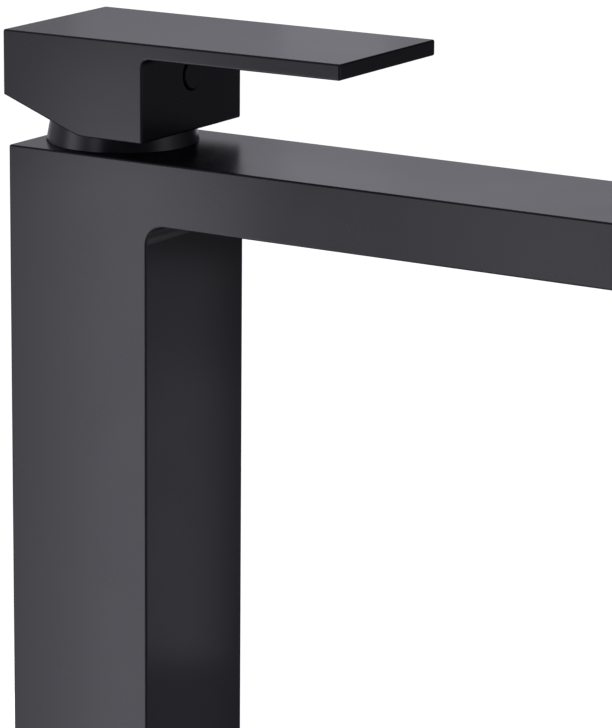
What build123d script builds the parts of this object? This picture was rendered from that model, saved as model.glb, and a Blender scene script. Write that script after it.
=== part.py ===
"""Tall single-lever basin mixer with a square column, a flat square spout and a flat lever.

The mixer stands on a deck. The column carries the spout as one brass shell. A 35 mm ceramic
cartridge sits in a valve body at the top of the column, is held by a ring nut and hidden by a
conical collar, and is worked by a block lever. Copper risers bring hot and cold water up from two
threaded inlets in the base, and a straight tube takes the mixed water along the spout to a
recessed aerator. Two studs, a horseshoe plate and nuts hold the mixer down.

Row frame, millimetres: +Z up, the origin is on the deck under the middle of the column, the spout
points to -Y, and +X is to the right of somebody who stands in front of the spout.
"""

from build123d import *
from math import cos, radians, sin, tan
import os

os.makedirs("parts", exist_ok=True)

# ---------------------------------------------------------------- driving dimensions
COL_X = 48.3  # column and spout width
COL_Y = 45.3  # column depth, front to back
ZT = 270.0  # top face of the column and spout above the deck
SPOUT_H = 17.4  # spout height
SPOUT_END = -185.0  # front end of the spout
CAP_T = 3.0  # thickness of the plate that closes the spout
WALL = 2.5  # column wall
SPOUT_WALL = 2.5  # spout floor and roof
ROOF = 4.0  # column roof
INNER_R = 5.5  # fillet between column and spout
EDGE = 0.6  # eased outside edges
BASE_Z = 1.2  # underside of the shell, which stands on the gasket

AX = 1.3  # the cartridge axis lies this far behind the middle of the column
OUT_Y = -165.0  # aerator axis
TUBE_X = 16.8  # spout tube axis
TUBE_Z = ZT - SPOUT_H / 2

# lever
LV_REAR = 24.05
LV_FRONT = -21.5
LV_END = -83.4
LV_HALF = 24.5
LV_TOP = ZT + 31.9  # height of the top face over the middle of the column
LV_SLOPE = 0.334  # the grip rises this many degrees towards its end
PLATE_T = 4.4
LV_BOTTOM = ZT + 4.7
BEVEL_REAR_Z = ZT + 13.8
BEVEL_ANGLE = 20.35
LV_WALL = 1.65
HUB_BOTTOM = ZT + 14.0
SCREW_Z = ZT + 20.35

# cartridge
PIVOT_Z = ZT + 2.0
LEAN = 12.5  # the stem leans forward by this much when the water is off
BALL_ARM = 9.0
BORE_R = 17.6

# deck side
INLET_X = 8.0
STUD_Y = 12.5
CLAMP_TOP = -25.0  # top of the clamp pad, so a 25 mm deck at rest
STUD_END = -70.0

AXIS = Axis((0, AX, 0), (0, 0, 1))


def at(z, x=0.0, y=AX):
    """A horizontal plane at height z, with its origin at x, y."""
    return Plane(origin=(x, y, z))


def turned(x=0.0, y=AX):
    """An upright plane through an axis at x, y: local x is the radius and local y is the height."""
    return Plane(origin=(x, y, 0), x_dir=(1, 0, 0), z_dir=(0, -1, 0))


def save(piece, label):
    piece.part.label = label
    export_step(piece.part, f"parts/{label}.step")


# ---------------------------------------------------------------- shell: column and spout
with BuildPart() as body_shell:
    with BuildSketch(Plane.YZ) as side:
        with BuildLine():
            Polyline(
                (COL_Y / 2, BASE_Z),
                (COL_Y / 2, ZT),
                (SPOUT_END + CAP_T, ZT),
                (SPOUT_END + CAP_T, ZT - SPOUT_H),
                (-COL_Y / 2, ZT - SPOUT_H),
                (-COL_Y / 2, BASE_Z),
                close=True,
            )
        make_face()
    extrude(amount=COL_X / 2, both=True)
    crook = (
        body_shell.edges()
        .filter_by(Axis.X)
        .sort_by(lambda e: abs(e.center().Y + COL_Y / 2) + abs(e.center().Z - ZT + SPOUT_H))[0]
    )
    fillet(crook, INNER_R)
    # every outside edge is eased except those round the open base and round the spout's open end
    eased = [
        e
        for e in body_shell.edges()
        if e.center().Z > BASE_Z + 0.01 and e.center().Y > SPOUT_END + CAP_T + 0.01
        and not (
            e.geom_type == GeomType.LINE
            and abs(abs(e.tangent_at(0.5).X) - 1) < 1e-6
            and e.center().Z < ZT - 1
            and e.center().Y < -1
        )
    ]
    fillet(eased, EDGE)
    # column cavity
    with BuildSketch(Plane.XY.offset(BASE_Z)):
        Rectangle(COL_X - 2 * WALL, COL_Y - 2 * WALL)
    extrude(amount=ZT - ROOF - BASE_Z, mode=Mode.SUBTRACT)
    # spout cavity
    with BuildSketch(Plane.XZ.offset(-SPOUT_END - CAP_T)):
        with Locations((0, TUBE_Z)):
            Rectangle(COL_X - 2 * WALL, SPOUT_H - 2 * SPOUT_WALL)
    extrude(amount=SPOUT_END + CAP_T + COL_Y / 2 - WALL - 0.01, mode=Mode.SUBTRACT)
    # opening for the neck of the valve body
    with BuildSketch(at(ZT - ROOF - 1)):
        Circle(19.4)
    extrude(amount=ROOF + 2, mode=Mode.SUBTRACT)
    # aerator opening, with a small countersink
    with BuildSketch(at(ZT - SPOUT_H - 1, 0, OUT_Y)):
        Circle(10.95)
    extrude(amount=SPOUT_WALL + 2, mode=Mode.SUBTRACT)
    rim = (
        body_shell.edges()
        .filter_by(GeomType.CIRCLE)
        .sort_by(lambda e: abs(e.center().Z - (ZT - SPOUT_H)) + abs(e.center().Y - OUT_Y))[0]
    )
    chamfer(rim, 0.6)
save(body_shell, "body_shell")

with BuildPart() as spout_end_cap:
    with BuildSketch(Plane.XZ.offset(-SPOUT_END - CAP_T)):
        with Locations((0, TUBE_Z)):
            Rectangle(COL_X, SPOUT_H)
    extrude(amount=CAP_T)
    # the long corner lines of the spout run on over the cap
    fillet(spout_end_cap.edges().filter_by(Axis.Y), EDGE)
    fillet(spout_end_cap.faces().sort_by(Axis.Y)[0].edges(), EDGE)
    with BuildSketch(Plane.XZ.offset(-SPOUT_END - CAP_T)):
        with Locations((0, TUBE_Z)):
            Rectangle(COL_X - 2 * WALL, SPOUT_H - 2 * SPOUT_WALL)
            Rectangle(COL_X - 2 * WALL - 3, SPOUT_H - 2 * SPOUT_WALL - 3, mode=Mode.SUBTRACT)
    extrude(amount=-4)
save(spout_end_cap, "spout_end_cap")

# ---------------------------------------------------------------- valve body
VB_BOTTOM = ZT - 40.0
SEAT_Z = ZT - 26.5
with BuildPart() as valve_body:
    with BuildSketch(at(VB_BOTTOM)):
        Circle(19.3)
    extrude(amount=ZT - ROOF - VB_BOTTOM)
    # the barrel is flatted where it passes the rear wall of the column
    with BuildSketch(Plane.XY.offset(VB_BOTTOM)):
        Rectangle(COL_X - 2 * WALL - 0.2, COL_Y - 2 * WALL - 0.2)
    extrude(amount=ZT - ROOF - VB_BOTTOM, mode=Mode.INTERSECT)
    with BuildSketch(at(ZT - ROOF)):
        Circle(19.3)
    extrude(amount=ROOF + 3)
    # square foot with the ports, square shoulder under the column roof, and the corner limb
    with BuildSketch(Plane.XY.offset(VB_BOTTOM)):
        Rectangle(COL_X - 2 * WALL - 0.2, COL_Y - 2 * WALL - 0.2)
    extrude(amount=SEAT_Z - 2 - VB_BOTTOM)
    with BuildSketch(Plane.XY.offset(ZT - 10)):
        Rectangle(COL_X - 2 * WALL - 0.2, COL_Y - 2 * WALL - 0.2)
    extrude(amount=10 - ROOF)
    with BuildSketch(Plane.XY.offset(SEAT_Z - 3)):
        with Locations((16.2, -11.7)):
            Rectangle(9.4, 15.4)
    extrude(amount=ZT - 9 - SEAT_Z + 3)
    # cartridge chamber and the ring nut's thread
    with BuildSketch(at(SEAT_Z)):
        Circle(BORE_R)
    extrude(amount=ZT + 4 - SEAT_Z, mode=Mode.SUBTRACT)
    with BuildSketch(at(ZT - 1.4)):
        Circle(18.0)
    extrude(amount=5, mode=Mode.SUBTRACT)
    # hot and cold ports with riser sockets
    with BuildSketch(Plane.XY.offset(VB_BOTTOM)):
        with Locations((INLET_X, 0), (-INLET_X, 0)):
            Circle(2.6)
    extrude(amount=20, mode=Mode.SUBTRACT)
    with BuildSketch(Plane.XY.offset(VB_BOTTOM)):
        with Locations((INLET_X, 0), (-INLET_X, 0)):
            Circle(4.05)
    extrude(amount=6, mode=Mode.SUBTRACT)
    # outlet: down from the seat, across behind the cold port, forward and up the limb
    with BuildSketch(Plane.XY.offset(SEAT_Z - 6.5)):
        with Locations((0, AX + 6)):
            Circle(3.0)
    extrude(amount=8, mode=Mode.SUBTRACT)
    with BuildSketch(Plane.YZ):
        with Locations((AX + 6, SEAT_Z - 6.2)):
            Circle(2.4)
    extrude(amount=TUBE_X, mode=Mode.SUBTRACT)
    with BuildSketch(Plane.XZ.offset(-AX - 8.6)):
        with Locations((TUBE_X, SEAT_Z - 6.2)):
            Circle(2.5)
    extrude(amount=26.2, mode=Mode.SUBTRACT)
    with BuildSketch(Plane.XY.offset(SEAT_Z - 9.6)):
        with Locations((TUBE_X, -15.2)):
            Circle(2.7)
    extrude(amount=TUBE_Z - SEAT_Z + 12.2, mode=Mode.SUBTRACT)
    # socket for the spout tube
    with BuildSketch(Plane.XZ.offset(COL_Y / 2 - WALL)):
        with Locations((TUBE_X, TUBE_Z)):
            Circle(3.9)
    extrude(amount=-6, mode=Mode.SUBTRACT)
    # sockets for the cartridge's two locating pegs
    with BuildSketch(Plane.XY.offset(SEAT_Z - 3)):
        with Locations((-6, AX - 11), (6, AX - 11)):
            Circle(1.9)
    extrude(amount=4, mode=Mode.SUBTRACT)
save(valve_body, "valve_body")

# ---------------------------------------------------------------- base block and risers
BLOCK_TOP = 22.0
with BuildPart() as base_block:
    with BuildSketch(Plane.XY.offset(BASE_Z)):
        Rectangle(COL_X - 2 * WALL, COL_Y - 2 * WALL)
    extrude(amount=BLOCK_TOP - BASE_Z)
    fillet(base_block.edges().filter_by(Axis.Z), 0.4)
    with BuildSketch(Plane.XY.offset(BASE_Z)):
        with Locations((INLET_X, 0), (-INLET_X, 0)):
            Circle(4.5)
    extrude(amount=10, mode=Mode.SUBTRACT)
    with BuildSketch(Plane.XY.offset(BASE_Z)):
        with Locations((INLET_X, 0), (-INLET_X, 0)):
            Circle(2.6)
    extrude(amount=30, mode=Mode.SUBTRACT)
    with BuildSketch(Plane.XY.offset(BLOCK_TOP - 6)):
        with Locations((INLET_X, 0), (-INLET_X, 0)):
            Circle(4.05)
    extrude(amount=8, mode=Mode.SUBTRACT)
    with BuildSketch(Plane.XY.offset(BASE_Z)):
        with Locations((0, STUD_Y), (0, -STUD_Y)):
            Circle(4.05)
    extrude(amount=14, mode=Mode.SUBTRACT)
    mouths = [
        e
        for e in base_block.edges().filter_by(GeomType.CIRCLE)
        if abs(e.center().Z - BASE_Z) < 0.01 and abs(e.radius - 4.5) < 0.01
    ]
    chamfer(mouths, 0.5)
save(base_block, "base_block")

for label, x in (("cold_riser_tube", INLET_X), ("hot_riser_tube", -INLET_X)):
    with BuildPart() as riser:
        with BuildSketch(at(BLOCK_TOP - 5.8, x, 0)):
            Circle(4.0)
            Circle(3.0, mode=Mode.SUBTRACT)
        extrude(amount=VB_BOTTOM + 5.8 - BLOCK_TOP + 5.8)
    save(riser, label)

# ---------------------------------------------------------------- spout tube and outlet socket
SOCK_REAR = -148.0
SOCK_FRONT = -176.0
with BuildPart() as spout_tube:
    with BuildSketch(Plane.XZ.offset(COL_Y / 2 - WALL - 5.5)):
        with Locations((TUBE_X, TUBE_Z)):
            Circle(3.85)
            Circle(2.9, mode=Mode.SUBTRACT)
    extrude(amount=-SOCK_REAR + 5.5 - (COL_Y / 2 - WALL - 5.5))
save(spout_tube, "spout_tube")

with BuildPart() as outlet_socket:
    with BuildSketch(Plane.XZ.offset(-SOCK_REAR)):
        with Locations((0, TUBE_Z)):
            Rectangle(COL_X - 2 * WALL, SPOUT_H - 2 * SPOUT_WALL)
    extrude(amount=SOCK_REAR - SOCK_FRONT)
    fillet(outlet_socket.edges().filter_by(Axis.Z), 3)
    with BuildSketch(at(ZT - SPOUT_H, 0, OUT_Y)):
        Circle(10.85)
    extrude(amount=11.0, mode=Mode.SUBTRACT)
    with BuildSketch(Plane.XZ.offset(-SOCK_REAR)):
        with Locations((TUBE_X, TUBE_Z)):
            Circle(3.9)
    extrude(amount=6, mode=Mode.SUBTRACT)
    with BuildSketch(Plane.XZ.offset(-SOCK_REAR)):
        with Locations((TUBE_X - 0.4, TUBE_Z)):
            Circle(2.4)
    extrude(amount=19.4, mode=Mode.SUBTRACT)
    with BuildSketch(Plane.YZ):
        with Locations((OUT_Y, TUBE_Z)):
            Circle(2.2)
    extrude(amount=TUBE_X + 1.6, mode=Mode.SUBTRACT)
save(outlet_socket, "outlet_socket")

# ---------------------------------------------------------------- aerator
AE_LIP = ZT - SPOUT_H - 0.8
with BuildPart() as aerator_housing:
    with BuildSketch(turned(0, OUT_Y)):
        with BuildLine():
            Polyline(
                (8.6, AE_LIP + 0.5),
                (9.1, AE_LIP),
                (10.3, AE_LIP),
                (10.75, AE_LIP + 0.45),
                (10.75, AE_LIP + 8.0),
                (9.3, AE_LIP + 8.0),
                (9.3, AE_LIP + 1.6),
                (8.6, AE_LIP + 1.6),
                close=True,
            )
        make_face()
    revolve(axis=Axis((0, OUT_Y, 0), (0, 0, 1)))
    # twelve key notches in the lip
    with BuildSketch(at(AE_LIP - 1, 0, OUT_Y)):
        with PolarLocations(8.7, 12):
            Rectangle(1.4, 1.5)
    extrude(amount=2.0, mode=Mode.SUBTRACT)
save(aerator_housing, "aerator_housing")

with BuildPart() as aerator_insert:
    with BuildSketch(at(AE_LIP + 1.7, 0, OUT_Y)):
        Circle(9.2)
        with HexLocations(1.02, 9, 9) as cells:
            pass
        spots = [p for p in cells.local_locations if p.position.length < 8.2]
        with Locations(*spots):
            RegularPolygon(0.82, 6, major_radius=False, rotation=30, mode=Mode.SUBTRACT)
    extrude(amount=2.4)
save(aerator_insert, "aerator_insert")

with BuildPart() as aerator_jet_plate:
    with BuildSketch(at(AE_LIP + 4.6, 0, OUT_Y)):
        Circle(9.2)
    extrude(amount=1.2)
    with BuildSketch(at(AE_LIP + 5.8, 0, OUT_Y)):
        Circle(9.2)
        Circle(8.2, mode=Mode.SUBTRACT)
    extrude(amount=2.1)
    with BuildSketch(at(AE_LIP + 4.0, 0, OUT_Y)):
        with PolarLocations(6.6, 16):
            Circle(0.5)
        with PolarLocations(4.2, 10):
            Circle(0.5)
        with PolarLocations(1.8, 5):
            Circle(0.5)
    extrude(amount=3, mode=Mode.SUBTRACT)
save(aerator_jet_plate, "aerator_jet_plate")

with BuildPart() as aerator_screen:
    with BuildSketch(turned(0, OUT_Y)):
        with BuildLine():
            Polyline(
                (0, AE_LIP + 8.9),
                (6.2, AE_LIP + 7.9),
                (7.2, AE_LIP + 6.4),
                (8.0, AE_LIP + 6.4),
                (8.0, AE_LIP + 6.8),
                (7.5, AE_LIP + 6.8),
                (6.5, AE_LIP + 8.3),
                (0, AE_LIP + 9.3),
                close=True,
            )
        make_face()
    revolve(axis=Axis((0, OUT_Y, 0), (0, 0, 1)))
    with BuildSketch(at(AE_LIP + 7.4, 0, OUT_Y)):
        with GridLocations(1.5, 1.5, 7, 7) as mesh:
            pass
        spots = [p for p in mesh.local_locations if p.position.length < 5.3]
        with Locations(*spots):
            Rectangle(0.8, 0.8)
    extrude(amount=3, mode=Mode.SUBTRACT)
save(aerator_screen, "aerator_screen")

with BuildPart() as aerator_washer:
    with BuildSketch(at(AE_LIP + 8.05, 0, OUT_Y)):
        Circle(10.6)
        Circle(8.4, mode=Mode.SUBTRACT)
    extrude(amount=1.7)
save(aerator_washer, "aerator_washer")

# ---------------------------------------------------------------- cartridge, fixed parts
with BuildPart() as cartridge_housing:
    with BuildSketch(turned()):
        with BuildLine():
            Polyline(
                (15.5, ZT - 23.0),
                (17.45, ZT - 23.0),
                (17.45, ZT - 8.4),
                (16.1, ZT - 8.4),
                (16.1, ZT - 6.2),
                (17.45, ZT - 6.2),
                (17.45, ZT - 1.2),
                (14.6, ZT - 1.2),
                (14.6, ZT + 6.6),
                (13.0, ZT + 6.6),
                (13.0, ZT - 5.4),
                (15.5, ZT - 5.4),
                close=True,
            )
        make_face()
    revolve(axis=AXIS)
    # arc in the rim where the limit ring's tab swings from full cold to full hot
    with BuildSketch(at(ZT + 4.6)):
        with BuildLine():
            l1 = Line((0, 0), (20 * sin(radians(-53.5)), 20 * cos(radians(-53.5))))
            l2 = Line(l1 @ 1, (-20, 30))
            l3 = Line(l2 @ 1, (20, 30))
            l4 = Line(l3 @ 1, (20 * sin(radians(53.5)), 20 * cos(radians(53.5))))
            l5 = Line(l4 @ 1, (0, 0))
        make_face()
    extrude(amount=3, mode=Mode.SUBTRACT)
save(cartridge_housing, "cartridge_housing")

with BuildPart() as cartridge_oring:
    with BuildSketch(turned()):
        with Locations((16.86, ZT - 7.3)):
            Circle(0.73)
    revolve(axis=AXIS)
save(cartridge_oring, "cartridge_oring")

PORTS = ((INLET_X, 0.0, 2.6), (-INLET_X, 0.0, 2.6), (0.0, AX + 6.0, 3.0))
with BuildPart() as cartridge_base:
    with BuildSketch(at(SEAT_Z)):
        Circle(17.45)
    extrude(amount=ZT - 23.0 - SEAT_Z)
    with BuildSketch(at(ZT - 23.0)):
        Circle(15.4)
    extrude(amount=4.8)
    with BuildSketch(Plane.XY.offset(SEAT_Z - 2.6)):
        with Locations((-6, AX - 11), (6, AX - 11)):
            Circle(1.8)
    extrude(amount=3.6)
    for px, py, pr in PORTS:
        with BuildSketch(Plane.XY.offset(SEAT_Z - 1)):
            with Locations((px, py)):
                Circle(pr)
        extrude(amount=12, mode=Mode.SUBTRACT)
        with BuildSketch(Plane.XY.offset(SEAT_Z)):
            with Locations((px, py)):
                Circle(pr + 1.3)
        extrude(amount=1.4, mode=Mode.SUBTRACT)
        with BuildSketch(Plane.XY.offset(ZT - 18.8)):
            with Locations((px, py)):
                Circle(pr + 1.2)
        extrude(amount=0.8, mode=Mode.SUBTRACT)
save(cartridge_base, "cartridge_base")

with BuildPart() as cartridge_seat_seals:
    for px, py, pr in PORTS:
        with BuildSketch(Plane.XY.offset(SEAT_Z)):
            with Locations((px, py)):
                Circle(pr + 1.3)
                Circle(pr + 0.2, mode=Mode.SUBTRACT)
        extrude(amount=1.4)
save(cartridge_seat_seals, "cartridge_seat_seals")

with BuildPart() as disc_seals:
    for px, py, pr in PORTS:
        with BuildSketch(Plane.XY.offset(ZT - 18.8)):
            with Locations((px, py)):
                Circle(pr + 1.2)
                Circle(pr + 0.2, mode=Mode.SUBTRACT)
        extrude(amount=0.6)
save(disc_seals, "disc_seals")

with BuildPart() as fixed_disc:
    with BuildSketch(at(ZT - 18.2)):
        Circle(15.2)
        # inlet kidneys run forward from the ports
        with Locations((7.3, -AX - 2.2), (-7.3, -AX - 2.2)):
            Circle(0.1, mode=Mode.SUBTRACT)
    extrude(amount=4.0)
    for side_x, turn in ((1, 15), (-1, -15)):
        with BuildSketch(at(ZT - 19)):
            with Locations((side_x * 7.5, -AX - 1.6)):
                SlotCenterToCenter(3.4, 5.0, rotation=90 + turn)
        extrude(amount=6, mode=Mode.SUBTRACT)
    with BuildSketch(at(ZT - 19)):
        with Locations((0, 6.0)):
            Circle(3.0)
    extrude(amount=6, mode=Mode.SUBTRACT)
save(fixed_disc, "fixed_disc")

# ---------------------------------------------------------------- cartridge, sliding disc
REACH = BALL_ARM * sin(radians(LEAN))  # the disc stands this far back when the water is off
with BuildPart() as moving_disc:
    with BuildSketch(at(ZT - 14.15, 0, AX + REACH)):
        Circle(11.0)
    extrude(amount=2.95)
    with BuildSketch(at(ZT - 14.2, 0, AX + 6.0)):
        RectangleRounded(15.0, 7.6, 2.5)
    extrude(amount=1.6, mode=Mode.SUBTRACT)
save(moving_disc, "moving_disc")

with BuildPart() as disc_carrier:
    with BuildSketch(at(ZT - 11.2, 0, AX + REACH)):
        Circle(11.0)
    extrude(amount=1.8)
    with BuildSketch(at(ZT - 9.4, 0, AX + REACH)):
        Rectangle(17.8, 9.0)
    extrude(amount=1.7)
    with BuildSketch(at(ZT - 7.7, 0, AX + REACH)):
        Circle(3.8)
    extrude(amount=2.1)
    with BuildSketch(at(ZT - 10.2, 0, AX + REACH)):
        Circle(2.55)
    extrude(amount=6, mode=Mode.SUBTRACT)
save(disc_carrier, "disc_carrier")

# ---------------------------------------------------------------- cartridge, rotor
with BuildPart() as cartridge_rotor:
    with BuildSketch(at(ZT - 9.0)):
        Circle(15.3)
    extrude(amount=3.4)
    with BuildSketch(at(ZT - 5.6)):
        Circle(12.9)
    extrude(amount=12.3)
    # slot for the stem
    with BuildSketch(at(ZT - 9.5)):
        Rectangle(8.3, 13.2)
    extrude(amount=18, mode=Mode.SUBTRACT)
    # guide channel for the disc carrier, and the round room over it
    with BuildSketch(at(ZT - 9.5)):
        Rectangle(18.1, 40)
    extrude(amount=2.1, mode=Mode.SUBTRACT)
    # hole for the pivot pin
    with BuildSketch(Plane.YZ):
        with Locations((AX, PIVOT_Z)):
            Circle(1.5)
    extrude(amount=14, both=True, mode=Mode.SUBTRACT)
save(cartridge_rotor, "cartridge_rotor")

with BuildPart() as pivot_pin:
    with BuildSketch(Plane.YZ):
        with Locations((AX, PIVOT_Z)):
            Circle(1.5)
    extrude(amount=12, both=True)
    chamfer(pivot_pin.edges(), 0.2)
save(pivot_pin, "pivot_pin")

with BuildPart() as temperature_limit_ring:
    with BuildSketch(at(ZT + 6.7)):
        Circle(14.4)
        Circle(9.6, mode=Mode.SUBTRACT)
    extrude(amount=0.9)
    # scale of fine teeth round the inside, which sets the hot stop
    with BuildSketch(at(ZT + 6.6)):
        with PolarLocations(9.7, 36):
            Circle(0.35)
    extrude(amount=1.2, mode=Mode.SUBTRACT)
    # tab that hangs in the housing's arc
    with BuildSketch(at(ZT + 4.8)):
        with BuildLine():
            Polyline(
                (14.4 * sin(radians(-8)), 14.4 * cos(radians(-8))),
                (14.4 * sin(radians(8)), 14.4 * cos(radians(8))),
                (13.2 * sin(radians(8)), 13.2 * cos(radians(8))),
                (13.2 * sin(radians(-8)), 13.2 * cos(radians(-8))),
                close=True,
            )
        make_face()
    extrude(amount=2.0)
save(temperature_limit_ring, "temperature_limit_ring")

# ---------------------------------------------------------------- ring nut and collar
with BuildPart() as retaining_nut:
    with BuildSketch(at(ZT - 1.2)):
        Circle(17.95)
        Circle(14.75, mode=Mode.SUBTRACT)
    extrude(amount=4.2)
    with BuildSketch(at(ZT + 3.0)):
        Circle(17.0)
        Circle(14.75, mode=Mode.SUBTRACT)
    extrude(amount=2.4)
    with BuildSketch(at(ZT + 3.2)):
        with PolarLocations(16.5, 6):
            Rectangle(3.0, 4.0)
    extrude(amount=3, mode=Mode.SUBTRACT)
save(retaining_nut, "retaining_nut")

with BuildPart() as dome_collar:
    with BuildSketch(turned()):
        with BuildLine():
            Polyline(
                (19.4, ZT),
                (21.0, ZT),
                (21.1, ZT + 0.1),
                (19.6, ZT + 8.0),
                (15.2, ZT + 8.0),
                (15.2, ZT + 6.6),
                (17.4, ZT + 6.0),
                (17.4, ZT + 3.4),
                (19.4, ZT + 3.4),
                close=True,
            )
        make_face()
    revolve(axis=AXIS)
    crown = (
        dome_collar.edges()
        .filter_by(GeomType.CIRCLE)
        .sort_by(lambda e: abs(e.radius - 19.6) + abs(e.center().Z - ZT - 8.0))[0]
    )
    fillet(crown, 0.7)
save(dome_collar, "dome_collar")

# ---------------------------------------------------------------- lever group
stem_plane = Plane(
    origin=(0, AX, PIVOT_Z),
    x_dir=(1, 0, 0),
    z_dir=(0, -sin(radians(LEAN)), cos(radians(LEAN))),
)
with BuildPart() as stem:
    with BuildSketch(stem_plane.offset(-4.6)):
        RectangleRounded(8.0, 8.0, 0.8)
    extrude(amount=28.6)
    chamfer(stem.faces().sort_by(Axis.Z)[-1].edges(), 0.6)
    with BuildSketch(stem_plane.offset(-BALL_ARM)):
        Circle(1.9)
    extrude(amount=5.0)
    with Locations(stem_plane.offset(-BALL_ARM)):
        Sphere(2.4)
    with BuildSketch(Plane.YZ):
        with Locations((AX, PIVOT_Z)):
            Circle(1.55)
    extrude(amount=8, both=True, mode=Mode.SUBTRACT)
save(stem, "stem")

CAV_X = LV_HALF - 2.2
CAV_FRONT = LV_FRONT + LV_WALL
CAV_REAR = LV_REAR - LV_WALL - 0.05


def lever_top(y):
    return LV_TOP - y * tan(radians(LV_SLOPE))


with BuildPart() as lever_handle:
    with BuildSketch(Plane.YZ) as profile:
        with BuildLine():
            drop = BEVEL_REAR_Z - LV_BOTTOM
            run = drop / tan(radians(BEVEL_ANGLE))
            Polyline(
                (LV_REAR, lever_top(LV_REAR)),
                (LV_END, lever_top(LV_END)),
                (LV_END, lever_top(LV_END) - PLATE_T),
                (LV_FRONT, lever_top(LV_FRONT) - PLATE_T),
                (LV_FRONT, LV_BOTTOM),
                (LV_REAR - run, LV_BOTTOM),
                (LV_REAR, BEVEL_REAR_Z),
                close=True,
            )
        make_face()
        heel = profile.vertices().sort_by_distance((LV_REAR - run, LV_BOTTOM, 0))[0]
        fillet(heel, 12)
        root = profile.vertices().sort_by_distance((LV_FRONT, lever_top(LV_FRONT) - PLATE_T, 0))[0]
        fillet(root, 2.0)
    extrude(amount=LV_HALF, both=True)
    # outside edges, apart from those of the underside
    eased = [
        e
        for e in lever_handle.edges()
        if not (
            abs(e.tangent_at(0.5).X) > 0.999
            and e.center().Z < LV_TOP - PLATE_T - 0.2
            and e.center().Y > LV_FRONT + 0.1
        )
        and not (
            abs(e.tangent_at(0.5).X) > 0.999
            and abs(e.center().Z - LV_TOP + PLATE_T) < 2.5
            and abs(e.center().Y - LV_FRONT) < 2.5
        )
    ]
    fillet(eased, EDGE)
    # cavity, open below
    with BuildSketch(at(LV_BOTTOM - 1, 0, (CAV_FRONT + CAV_REAR) / 2)):
        RectangleRounded(2 * CAV_X, CAV_REAR - CAV_FRONT, 2.0)
    extrude(amount=LV_TOP - 5.0 - LV_BOTTOM + 1, mode=Mode.SUBTRACT)
    # hub, with the screw boss to the front wall
    with BuildSketch(Plane.XY.offset(HUB_BOTTOM)):
        with Locations((0, -3.0)):
            RectangleRounded(17, 18, 2)
        with Locations((0, (CAV_FRONT - 8.0) / 2)):
            Rectangle(12, -8.0 - CAV_FRONT + 1)
    extrude(amount=LV_TOP - 4.5 - HUB_BOTTOM)
    # socket for the stem
    with BuildSketch(stem_plane.offset(10.0)):
        RectangleRounded(8.1, 8.1, 0.7)
    extrude(amount=14.4, mode=Mode.SUBTRACT)
    # thread for the grub screw and seat for the plug
    with BuildSketch(Plane.XZ.offset(-LV_FRONT)):
        with Locations((0, SCREW_Z)):
            Circle(2.5)
    extrude(amount=LV_FRONT + 4.0, mode=Mode.SUBTRACT)
    with BuildSketch(Plane.XZ.offset(-LV_FRONT)):
        with Locations((0, SCREW_Z)):
            Circle(4.4)
    extrude(amount=-3.2, mode=Mode.SUBTRACT)
    lip = (
        lever_handle.edges()
        .filter_by(GeomType.CIRCLE)
        .sort_by(lambda e: abs(e.center().Y - LV_FRONT) + abs(e.radius - 4.4))[0]
    )
    fillet(lip, 0.25)
save(lever_handle, "lever_handle")

with BuildPart() as grub_screw:
    with BuildSketch(Plane.XZ.offset(16.6)):
        with Locations((0, SCREW_Z)):
            Circle(2.46)
    extrude(amount=-9.15)
    chamfer(grub_screw.edges().filter_by(GeomType.CIRCLE), 0.4)
    with BuildSketch(Plane.XZ.offset(16.6)):
        with Locations((0, SCREW_Z)):
            RegularPolygon(1.25, 6, major_radius=False)
    extrude(amount=-2.6, mode=Mode.SUBTRACT)
save(grub_screw, "grub_screw")

with BuildPart() as index_plug:
    with BuildSketch(Plane.XZ.offset(-LV_FRONT + 0.55)):
        with Locations((0, SCREW_Z)):
            Circle(4.05)
    extrude(amount=-3.4)
    fillet(index_plug.edges().filter_by(GeomType.CIRCLE).sort_by(Axis.Y)[0], 0.4)
    with BuildSketch(Plane.XZ.offset(-LV_FRONT - 2.8)):
        with Locations((0, SCREW_Z)):
            Circle(2.2)
    extrude(amount=-1.6)
save(index_plug, "index_plug")

# ---------------------------------------------------------------- deck side
with BuildPart() as deck_gasket:
    with BuildSketch(Plane.XY):
        RectangleRounded(COL_X - 1.0, COL_Y - 1.0, 0.8)
        with Locations((0, STUD_Y), (0, -STUD_Y)):
            Circle(4.4, mode=Mode.SUBTRACT)
        with Locations((INLET_X, 0), (-INLET_X, 0)):
            Circle(6.4, mode=Mode.SUBTRACT)
    extrude(amount=BASE_Z)
save(deck_gasket, "deck_gasket")

PITCH = 1.25
SHANK_END = -12.0


def thread(top, bottom, crest=4.0, depth=0.65):
    """Corner points of one side of a ring-cut thread, from the top down."""
    count = int((top - bottom) / PITCH)
    points = []
    for i in range(count):
        z = top - i * PITCH
        points += [(crest - depth, z), (crest - 0.02, z - PITCH / 2)]
    points.append((crest - depth, top - count * PITCH))
    return points


with BuildPart() as deck_studs:
    for y in (STUD_Y, -STUD_Y):
        upper = thread(13.0, -1.3)
        lower = thread(SHANK_END, STUD_END + 1.2)
        with BuildSketch(turned(0, y)):
            with BuildLine():
                Polyline(
                    (0, 14.0),
                    (2.6, 14.0),
                    *upper,
                    (4.0, upper[-1][1] - 0.65),
                    (4.0, SHANK_END + 0.65),
                    *lower,
                    (2.7, STUD_END),
                    (0, STUD_END),
                    close=True,
                )
            make_face()
        revolve(axis=Axis((0, y, 0), (0, 0, 1)))
save(deck_studs, "deck_studs")


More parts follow.
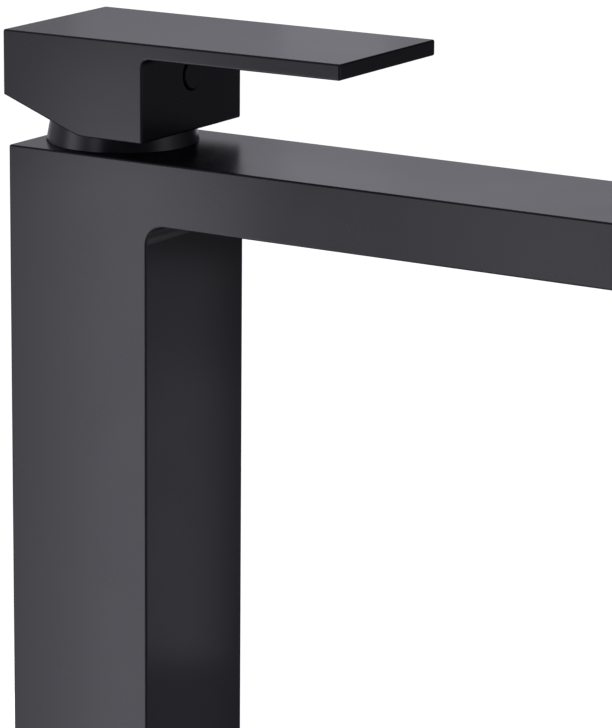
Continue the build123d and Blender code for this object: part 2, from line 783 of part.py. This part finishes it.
def horseshoe(z0, thickness, outer, slot, hole):
    """A round plate with a slot from its middle to the +X side and two stud holes."""
    with BuildPart() as plate:
        with BuildSketch(Plane.XY.offset(z0)):
            Circle(outer)
            with Locations((-INLET_X, 0)):
                Circle(slot, mode=Mode.SUBTRACT)
            with Locations(((outer - INLET_X) / 2 + 5, 0)):
                Rectangle(outer + INLET_X + 10, 2 * slot, mode=Mode.SUBTRACT)
            with Locations((0, STUD_Y), (0, -STUD_Y)):
                Circle(hole, mode=Mode.SUBTRACT)
        extrude(amount=thickness)
        corners = [
            e for e in plate.edges().filter_by(Axis.Z) if e.center().X > outer * 0.8
        ]
        fillet(corners, 2.0)
    return plate


clamp_pad = horseshoe(CLAMP_TOP - 3.0, 3.0, 27.0, 6.9, 4.3)
save(clamp_pad, "clamp_pad")
clamp_plate = horseshoe(CLAMP_TOP - 6.0, 3.0, 27.0, 6.9, 4.3)
save(clamp_plate, "clamp_plate")

with BuildPart() as clamp_nuts:
    with BuildSketch(Plane.XY.offset(CLAMP_TOP - 6.0 - 1.2)):
        with Locations((0, STUD_Y), (0, -STUD_Y)):
            Circle(6.0)
            Circle(4.1, mode=Mode.SUBTRACT)
    extrude(amount=1.2)
    with BuildSketch(Plane.XY.offset(CLAMP_TOP - 6.0 - 7.7)):
        with Locations((0, STUD_Y), (0, -STUD_Y)):
            RegularPolygon(5.5, 6, major_radius=False)
            Circle(4.1, mode=Mode.SUBTRACT)
    extrude(amount=6.5)
save(clamp_nuts, "clamp_nuts")
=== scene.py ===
import math

import bpy
from mathutils import Matrix, Vector


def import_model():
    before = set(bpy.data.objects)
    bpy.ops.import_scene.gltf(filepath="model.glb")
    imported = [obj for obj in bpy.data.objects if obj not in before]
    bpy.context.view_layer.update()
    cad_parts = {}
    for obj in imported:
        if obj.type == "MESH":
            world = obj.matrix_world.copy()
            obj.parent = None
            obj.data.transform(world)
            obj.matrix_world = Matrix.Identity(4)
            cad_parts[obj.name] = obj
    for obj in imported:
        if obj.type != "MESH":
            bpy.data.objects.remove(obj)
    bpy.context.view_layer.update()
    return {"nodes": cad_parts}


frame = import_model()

scene = bpy.context.scene
nodes = frame["nodes"]

TOP = 0.270  # top face of the column
AXIS_Y = 0.0013  # cartridge axis
OUTLET_Y = -0.165


# ------------------------------------------------------------------ camera
def camera():
    az, el, roll = (math.radians(a) for a in (-58.171, 13.858, 0.478))
    back = Vector((math.sin(az) * math.cos(el), -math.cos(az) * math.cos(el), math.sin(el)))
    right = Vector((math.cos(az), math.sin(az), 0.0))
    up = back.cross(right)
    x = right * math.cos(roll) + up * math.sin(roll)
    y = -right * math.sin(roll) + up * math.cos(roll)
    unit = 0.045
    place = (back * 25.0572 + x * 1.0962 - y * 1.3746) * unit + Vector((0, 0, TOP))
    data = bpy.data.cameras.new("camera")
    data.sensor_width = 36.0
    data.lens = 36.0 * 4093.1 / 728.0
    data.clip_start = 0.01
    data.clip_end = 50.0
    cam = bpy.data.objects.new("camera", data)
    scene.collection.objects.link(cam)
    cam.matrix_world = Matrix((
        (x.x, y.x, back.x, place.x),
        (x.y, y.y, back.y, place.y),
        (x.z, y.z, back.z, place.z),
        (0, 0, 0, 1),
    ))
    scene.camera = cam


camera()


# ------------------------------------------------------------------ node helpers
class Tree:
    """A short way to write a node tree."""

    def __init__(self, tree):
        self.t = tree
        self.t.nodes.clear()

    def add(self, kind, settings=None, **inputs):
        n = self.t.nodes.new(kind)
        for k, v in (settings or {}).items():
            setattr(n, k, v)
        for k, v in inputs.items():
            self.put(n, k.replace("_", " "), v)
        return n

    def put(self, node, name, value):
        sock = node.inputs[int(name)] if name.strip().isdigit() else node.inputs[name]
        if isinstance(value, bpy.types.NodeSocket):
            self.t.links.new(value, sock)
        else:
            sock.default_value = value

    def math(self, op, a, b=None, c=None, clamp=False):
        n = self.t.nodes.new("ShaderNodeMath")
        n.operation = op
        n.use_clamp = clamp
        for i, v in enumerate((a, b, c)):
            if v is not None:
                self.put(n, str(i), v)
        return n.outputs[0]

    def vec(self, op, a, b=None):
        n = self.t.nodes.new("ShaderNodeVectorMath")
        n.operation = op
        self.put(n, "0", a)
        if b is not None:
            self.put(n, "1", b)
        return n.outputs["Value"] if op in ("DOT_PRODUCT", "LENGTH") else n.outputs["Vector"]

    def remap(self, value, lo, hi, out_lo=0.0, out_hi=1.0, smooth=False):
        n = self.t.nodes.new("ShaderNodeMapRange")
        n.interpolation_type = "SMOOTHSTEP" if smooth else "LINEAR"
        n.clamp = True
        for k, v in (("Value", value), ("From Min", lo), ("From Max", hi), ("To Min", out_lo), ("To Max", out_hi)):
            self.put(n, k, v)
        return n.outputs["Result"]

    def mix(self, fac, a, b):
        n = self.t.nodes.new("ShaderNodeMix")
        n.data_type = "RGBA"
        self.put(n, "0", fac)
        for i, v in ((6, a), (7, b)):
            if not isinstance(v, bpy.types.NodeSocket) and len(v) == 3:
                v = (*v, 1.0)
            self.put(n, str(i), v)
        return n.outputs[2]

    def coords(self, origin=(0, 0, 0), scale=(1, 1, 1)):
        tc = self.t.nodes.new("ShaderNodeTexCoord")
        m = self.t.nodes.new("ShaderNodeMapping")
        self.t.links.new(tc.outputs["Object"], m.inputs["Vector"])
        m.inputs["Location"].default_value = [-o * s for o, s in zip(origin, scale)]
        m.inputs["Scale"].default_value = scale
        return m.outputs["Vector"]

    def noise(self, vector, scale, detail=3.0, rough=0.5, distortion=0.0):
        n = self.add("ShaderNodeTexNoise", None, Vector=vector, Scale=scale, Detail=detail, Roughness=rough, Distortion=distortion)
        return n.outputs["Fac"]

    def bump(self, height, distance, strength=1.0, normal=None):
        n = self.add("ShaderNodeBump", None, Height=height, Distance=distance, Strength=strength)
        if normal is not None:
            self.put(n, "Normal", normal)
        return n.outputs["Normal"]


def material(name):
    m = bpy.data.materials.new(name)
    m.use_nodes = True
    t = Tree(m.node_tree)
    out = t.add("ShaderNodeOutputMaterial")
    bsdf = t.add("ShaderNodeBsdfPrincipled")
    t.t.links.new(bsdf.outputs["BSDF"], out.inputs["Surface"])
    return m, t, bsdf


def black_coat(name, tint=1.0, rough=(0.23, 0.27)):
    """Satin black powder coat: fine orange peel, a finer grain over it, and faint clouds in its gloss."""
    m, t, b = material(name)
    p = t.coords()
    cloud = t.noise(p, 38.0, 4.0, 0.55)
    peel = t.noise(p, 950.0, 2.0, 0.5)
    grain = t.noise(p, 4200.0, 2.0, 0.6)
    tone = t.math("ADD", t.math("MULTIPLY", cloud, 0.6), t.math("MULTIPLY", grain, 0.4))
    dark, light = (tuple(c * tint for c in k) for k in ((0.0148, 0.0148, 0.0190), (0.0208, 0.0204, 0.0262)))
    t.put(b, "Base Color", t.mix(t.remap(tone, 0.35, 0.65), dark, light))
    t.put(b, "Roughness", t.math("ADD", t.remap(cloud, 0.3, 0.7, rough[0], rough[1]), t.remap(grain, 0.3, 0.7, -0.015, 0.015)))
    t.put(b, "Normal", t.bump(grain, 0.0000016, 1.0, t.bump(peel, 0.000004, 1.0)))
    t.put(b, "IOR", 1.5)
    return m


def plastic(name, dark, light, rough=(0.38, 0.5), grain_scale=2600.0, depth=0.000004):
    m, t, b = material(name)
    p = t.coords()
    cloud = t.noise(p, 90.0, 4.0, 0.6)
    grain = t.noise(p, grain_scale, 3.0, 0.6)
    t.put(b, "Base Color", t.mix(t.remap(t.math("ADD", t.math("MULTIPLY", cloud, 0.5), t.math("MULTIPLY", grain, 0.5)), 0.35, 0.65), dark, light))
    t.put(b, "Roughness", t.remap(cloud, 0.3, 0.7, rough[0], rough[1]))
    t.put(b, "Normal", t.bump(grain, depth, 1.0))
    t.put(b, "IOR", 1.48)
    return m


def rubber(name, dark=(0.014, 0.014, 0.014), light=(0.03, 0.03, 0.03)):
    m, t, b = material(name)
    p = t.coords()
    grain = t.noise(p, 1800.0, 4.0, 0.7)
    dust = t.noise(p, 260.0, 5.0, 0.65)
    t.put(b, "Base Color", t.mix(t.remap(dust, 0.42, 0.75), dark, light))
    t.put(b, "Roughness", t.remap(dust, 0.3, 0.7, 0.66, 0.82))
    t.put(b, "Normal", t.bump(grain, 0.00001, 1.0))
    t.put(b, "IOR", 1.45)
    return m


def metal(name, dark, light, rough, origin=(0, 0, 0), turned=None, grain=None, tarnish=0.0, spot=(0.3, 0.2, 0.1)):
    """Bare metal. turned is the axis of its lathe lines, and grain stretches its streaks along one axis."""
    m, t, b = material(name)
    p = t.coords(origin)
    cloud = t.noise(p, 75.0, 5.0, 0.6)
    fine = t.noise(p, 3000.0, 2.0, 0.5)
    if turned is not None:
        w = t.add("ShaderNodeTexWave", {"wave_type": "RINGS", "rings_direction": turned, "wave_profile": "SAW"},
                  Vector=p, Scale=1900.0, Distortion=1.2, Detail=2.0, Detail_Scale=1.0)
        # the lines along the axis show on the ends and those across it show on the sides
        q = t.coords(origin, {"X": (1, 0.02, 0.02), "Y": (0.02, 1, 0.02), "Z": (0.02, 0.02, 1)}[turned])
        lines = t.math("ADD", t.math("MULTIPLY", w.outputs["Fac"], 0.5), t.math("MULTIPLY", t.noise(q, 5200.0, 2.0, 0.5), 0.5))
    elif grain is not None:
        q = t.coords(origin, {"X": (0.03, 1, 1), "Y": (1, 0.03, 1), "Z": (1, 1, 0.03)}[grain])
        lines = t.noise(q, 2400.0, 3.0, 0.6)
    else:
        lines = fine
    col = t.mix(t.remap(t.math("ADD", t.math("MULTIPLY", cloud, 0.65), t.math("MULTIPLY", lines, 0.35)), 0.35, 0.65), dark, light)
    if tarnish:
        spots = t.remap(t.noise(p, 160.0, 6.0, 0.7), 0.58, 0.72, 0.0, tarnish, True)
        col = t.mix(spots, col, spot)
    t.put(b, "Base Color", col)
    t.put(b, "Metallic", 1.0)
    t.put(b, "Roughness", t.math("ADD", t.remap(cloud, 0.3, 0.7, rough[0], rough[1]), t.remap(lines, 0.3, 0.7, -0.04, 0.04)))
    t.put(b, "Normal", t.bump(lines, 0.000006, 1.0, t.bump(fine, 0.000002, 1.0)))
    return m


def ceramic(name):
    m, t, b = material(name)
    p = t.coords()
    grain = t.noise(p, 5000.0, 2.0, 0.5)
    cloud = t.noise(p, 140.0, 4.0, 0.6)
    t.put(b, "Base Color", t.mix(t.remap(t.math("ADD", t.math("MULTIPLY", grain, 0.4), t.math("MULTIPLY", cloud, 0.6)), 0.35, 0.65), (0.72, 0.69, 0.62), (0.84, 0.82, 0.77)))
    t.put(b, "Roughness", t.remap(cloud, 0.3, 0.7, 0.12, 0.2))
    t.put(b, "Normal", t.bump(grain, 0.0000015, 1.0))
    t.put(b, "IOR", 1.7)
    return m


axis = (0, AXIS_Y, 0)
outlet = (0, OUTLET_Y, 0)
coat = black_coat("satin_black_coat")
brass_dark, brass_light = (0.55, 0.38, 0.16), (0.74, 0.56, 0.28)
LOOK = {
    "body_shell": coat,
    "spout_end_cap": coat,
    "dome_collar": coat,
    "lever_handle": coat,
    "index_plug": plastic("plug_black", (0.016, 0.016, 0.016), (0.026, 0.026, 0.026), (0.3, 0.38)),
    "aerator_housing": plastic("aerator_black", (0.013, 0.013, 0.014), (0.024, 0.024, 0.026), (0.28, 0.4)),
    "aerator_insert": plastic("aerator_grey", (0.16, 0.165, 0.17), (0.24, 0.245, 0.25), (0.35, 0.5)),
    "aerator_jet_plate": plastic("jet_plate_grey", (0.3, 0.31, 0.32), (0.4, 0.41, 0.42), (0.35, 0.5)),
    "aerator_screen": metal("screen_steel", (0.4, 0.4, 0.39), (0.62, 0.62, 0.6), (0.25, 0.4), outlet),
    "aerator_washer": rubber("washer_rubber"),
    "valve_body": metal("valve_brass", brass_dark, brass_light, (0.3, 0.45), axis, "Z", None, 0.5, (0.32, 0.2, 0.09)),
    "base_block": metal("base_brass", brass_dark, brass_light, (0.32, 0.48), (0, 0, 0), None, "X", 0.5, (0.32, 0.2, 0.09)),
    "outlet_socket": metal("outlet_brass", brass_dark, brass_light, (0.32, 0.48), outlet, None, "Y", 0.5, (0.32, 0.2, 0.09)),
    "retaining_nut": metal("nut_brass", brass_dark, brass_light, (0.26, 0.38), axis, "Z"),
    "clamp_nuts": metal("clamp_nut_brass", brass_dark, brass_light, (0.28, 0.42), (0, 0, 0), None, "Z", 0.3, (0.32, 0.2, 0.09)),
    "cold_riser_tube": metal("cold_copper", (0.62, 0.28, 0.17), (0.8, 0.42, 0.28), (0.24, 0.4), (0, 0, 0), None, "Z", 0.5, (0.25, 0.1, 0.07)),
    "hot_riser_tube": metal("hot_copper", (0.62, 0.28, 0.17), (0.8, 0.42, 0.28), (0.24, 0.4), (0, 0, 0), None, "Z", 0.5, (0.25, 0.1, 0.07)),
    "spout_tube": metal("spout_copper", (0.62, 0.28, 0.17), (0.8, 0.42, 0.28), (0.24, 0.4), (0, 0, 0), None, "Y", 0.5, (0.25, 0.1, 0.07)),
    "stem": metal("stem_steel", (0.42, 0.42, 0.43), (0.6, 0.6, 0.6), (0.22, 0.34), axis, None, "Z"),
    "pivot_pin": metal("pin_steel", (0.45, 0.45, 0.46), (0.62, 0.62, 0.62), (0.16, 0.26), axis, "X"),
    "grub_screw": metal("screw_steel", (0.12, 0.12, 0.13), (0.22, 0.22, 0.23), (0.3, 0.45), (0, 0, TOP + 0.02015), "Y"),
    "deck_studs": metal("stud_zinc", (0.44, 0.46, 0.5), (0.66, 0.66, 0.62), (0.26, 0.4), (0, 0, 0), None, "X", 0.35, (0.5, 0.46, 0.36)),
    "clamp_plate": metal("clamp_zinc", (0.44, 0.46, 0.5), (0.66, 0.66, 0.62), (0.3, 0.46), (0, 0, 0), None, "X", 0.35, (0.5, 0.46, 0.36)),
    "cartridge_housing": plastic("housing_acetal", (0.66, 0.66, 0.62), (0.78, 0.78, 0.75)),
    "cartridge_base": plastic("foot_acetal", (0.56, 0.57, 0.56), (0.7, 0.7, 0.68)),
    "cartridge_rotor": plastic("rotor_acetal", (0.66, 0.66, 0.62), (0.78, 0.78, 0.75)),
    "disc_carrier": plastic("slider_acetal", (0.5, 0.5, 0.48), (0.62, 0.62, 0.6)),
    "temperature_limit_ring": plastic("limit_ring_red", (0.42, 0.03, 0.02), (0.56, 0.05, 0.035)),
    "fixed_disc": ceramic("fixed_ceramic"),
    "moving_disc": ceramic("moving_ceramic"),
    "cartridge_oring": rubber("oring_rubber"),
    "cartridge_seat_seals": rubber("seat_rubber"),
    "disc_seals": rubber("disc_rubber"),
    "deck_gasket": rubber("gasket_rubber", (0.02, 0.02, 0.02), (0.045, 0.045, 0.045)),
    "clamp_pad": rubber("pad_rubber", (0.02, 0.02, 0.02), (0.045, 0.045, 0.045)),
}
missing = sorted(set(nodes) - set(LOOK))
if missing:
    raise RuntimeError("no material for " + ", ".join(missing))
for name, obj in nodes.items():
    if not obj.data.materials:
        obj.data.materials.append(LOOK[name])
    for i in range(len(obj.data.materials)):
        obj.data.materials[i] = LOOK[name]


# ------------------------------------------------------------------ studio
TINT = (0.975, 0.957, 1.068)  # the softboxes are slightly cool


def panel(name, place, target, size, radiance):
    """A softbox with an even face. Its power follows from its area, so that radiance 1 is paper white."""
    d = bpy.data.lights.new(name, "AREA")
    d.shape = "RECTANGLE"
    d.size, d.size_y = size
    d.energy = size[0] * size[1] * math.pi * radiance
    d.color = TINT
    o = bpy.data.objects.new(name, d)
    scene.collection.objects.link(o)
    o.location = place
    o.rotation_euler = (Vector(target) - Vector(place)).to_track_quat("-Z", "Y").to_euler()
    o.visible_camera = False


def left(name, y, z, size, radiance, far=0.16):
    """A strip that the left faces mirror into the camera at height z and depth y."""
    panel(name, (-0.024 - 0.852 * far, y + 0.524 * far, z), (-0.024, y, z + 0.247 * far), size, radiance)


def front(name, x, z, size, radiance, far=0.16):
    """A strip that the front faces mirror into the camera."""
    panel(name, (x + 0.852 * far, -0.0226 - 0.524 * far, z), (x, -0.0226, z + 0.247 * far), size, radiance)


left("strip_column_near", -0.02, 0.09, (0.04, 0.28), 1.62)
left("strip_column_rear", 0.02, 0.09, (0.04, 0.28), 0.9)
left("strip_spout_root", -0.06, 0.215, (0.04, 0.08), 0.244)
left("strip_spout_middle", -0.11, 0.215, (0.05, 0.08), 0.195)
left("strip_spout_end", -0.17, 0.215, (0.05, 0.08), 0.307)
left("strip_lever", -0.01, 0.25, (0.05, 0.05), 0.92)
front("strip_front_low", -0.02, 0.055, (0.03, 0.23), 0.175)
front("strip_front_high", -0.02, 0.16, (0.03, 0.12), 0.25, 0.10)
panel("card_lever_top", (0.16, 0.07, 0.35), (0, -0.03, 0.302), (0.1, 0.06), 0.12)
panel("card_spout_top", (0.2, 0.005, 0.33), (0, -0.12, 0.27), (0.12, 0.06), 0.107)
panel("box_left_front", (-0.376, 0.03, 0.15), (-0.024, -0.17, 0.25), (0.12, 0.5), 0.75)
panel("box_left_rear", (-0.376, 0.26, 0.12), (-0.024, 0.02, 0.2), (0.08, 0.7), 0.201)
# these two stay behind the front face and below the top face, so that they light the far faces alone
panel("box_right", (0.42, 0.18, 0.03), (0.025, 0.18, 0.03), (0.4, 0.4), 0.6)
panel("box_behind", (0.22, 0.42, 0.03), (0.22, 0.025, 0.03), (0.4, 0.4), 0.4)

# soft lobes of light from far away: direction, tightness, strength
LOBES = (
    ((-0.83, 0.51, -0.24), 12, 0.378),  # left
    ((-0.66, 0.75, 0.05), 60, 1.8),  # left, further back
    ((0.165, -0.985, 0.06), 30, 0.6),  # in front
    ((0.5, -0.86, -0.15), 12, 0.21),  # front right
    ((0.78, 0.48, 0.42), 30, 1.0),  # behind, above
    ((-0.3, 0.95, 0.1), 8, 0.12),  # behind
    ((0.82, 0.5, -0.35), 20, 0.15),  # behind, low
    ((0.97, 0.2, -0.1), 10, 0.06),  # right
    ((0.0, 0.0, 1.0), 8, 0.4),  # overhead
    ((0.0, 0.0, -1.0), 4, 0.25),  # off the table
    ((0.1, 0.8, 0.62), 10, 0.28),  # high behind
    ((-0.55, -0.6, 0.6), 12, 0.2),  # high in front
    ((0.05, 1.0, -0.3), 10, 0.3),  # behind, off the table
    ((0.0, -0.85, -0.5), 10, 0.25),  # in front, off the table
)
HORIZON = (0.1, 0.22)  # the light behind and above fades out below this height
FLOOR_LIGHT = 0.92


def world():
    w = bpy.data.worlds.new("studio")
    scene.world = w
    w.use_nodes = True
    t = Tree(w.node_tree)
    out = t.add("ShaderNodeOutputWorld")
    bg = t.add("ShaderNodeBackground")
    tc = t.add("ShaderNodeTexCoord")
    d = t.vec("NORMALIZE", tc.outputs["Generated"])
    sep = t.add("ShaderNodeSeparateXYZ", None, Vector=d)
    above = t.remap(sep.outputs["Z"], *HORIZON, smooth=True)
    level = 0.005
    for way, tight, strength in LOBES:
        near = t.math("SUBTRACT", t.vec("DOT_PRODUCT", d, Vector(way).normalized()), 1.0)
        lobe = t.math("EXPONENT", t.math("MULTIPLY", near, float(tight)))
        if way == (0.78, 0.48, 0.42):
            lobe = t.math("MULTIPLY", lobe, above)
        level = t.math("MULTIPLY_ADD", lobe, strength, level)
    path = t.add("ShaderNodeLightPath")
    seen = path.outputs["Is Camera Ray"]
    t.put(bg, "Strength", t.math("MAXIMUM", level, seen))
    t.put(bg, "Color", t.mix(seen, TINT, (1, 1, 1)))
    t.t.links.new(bg.outputs["Background"], out.inputs["Surface"])


def floor():
    mesh = bpy.data.meshes.new("floor")
    s, z = 9.0, -0.0705
    mesh.from_pydata([(-s, -s, z), (s, -s, z), (s, s, z), (-s, s, z)], [], [(0, 1, 2, 3)])
    o = bpy.data.objects.new("floor", mesh)
    scene.collection.objects.link(o)
    m, t, b = material("floor_pale")
    p = t.coords()
    paper = t.noise(p, 30.0, 3.0, 0.5)
    t.put(b, "Base Color", t.mix(paper, (0.79, 0.79, 0.79), (0.81, 0.81, 0.81)))
    t.put(b, "Roughness", 0.9)
    t.put(b, "Specular IOR Level", 0.0)
    t.put(b, "Emission Color", (1, 1, 1, 1))
    t.put(b, "Emission Strength", FLOOR_LIGHT)
    mesh.materials.append(m)
    # the softboxes already stand for the light that a white table throws back
    o.visible_glossy = False
    o.visible_diffuse = False
    o.visible_shadow = False


world()
floor()

scene.view_settings.view_transform = "Standard"
scene.view_settings.look = "None"
scene.view_settings.exposure = 0.0
scene.view_settings.gamma = 1.0
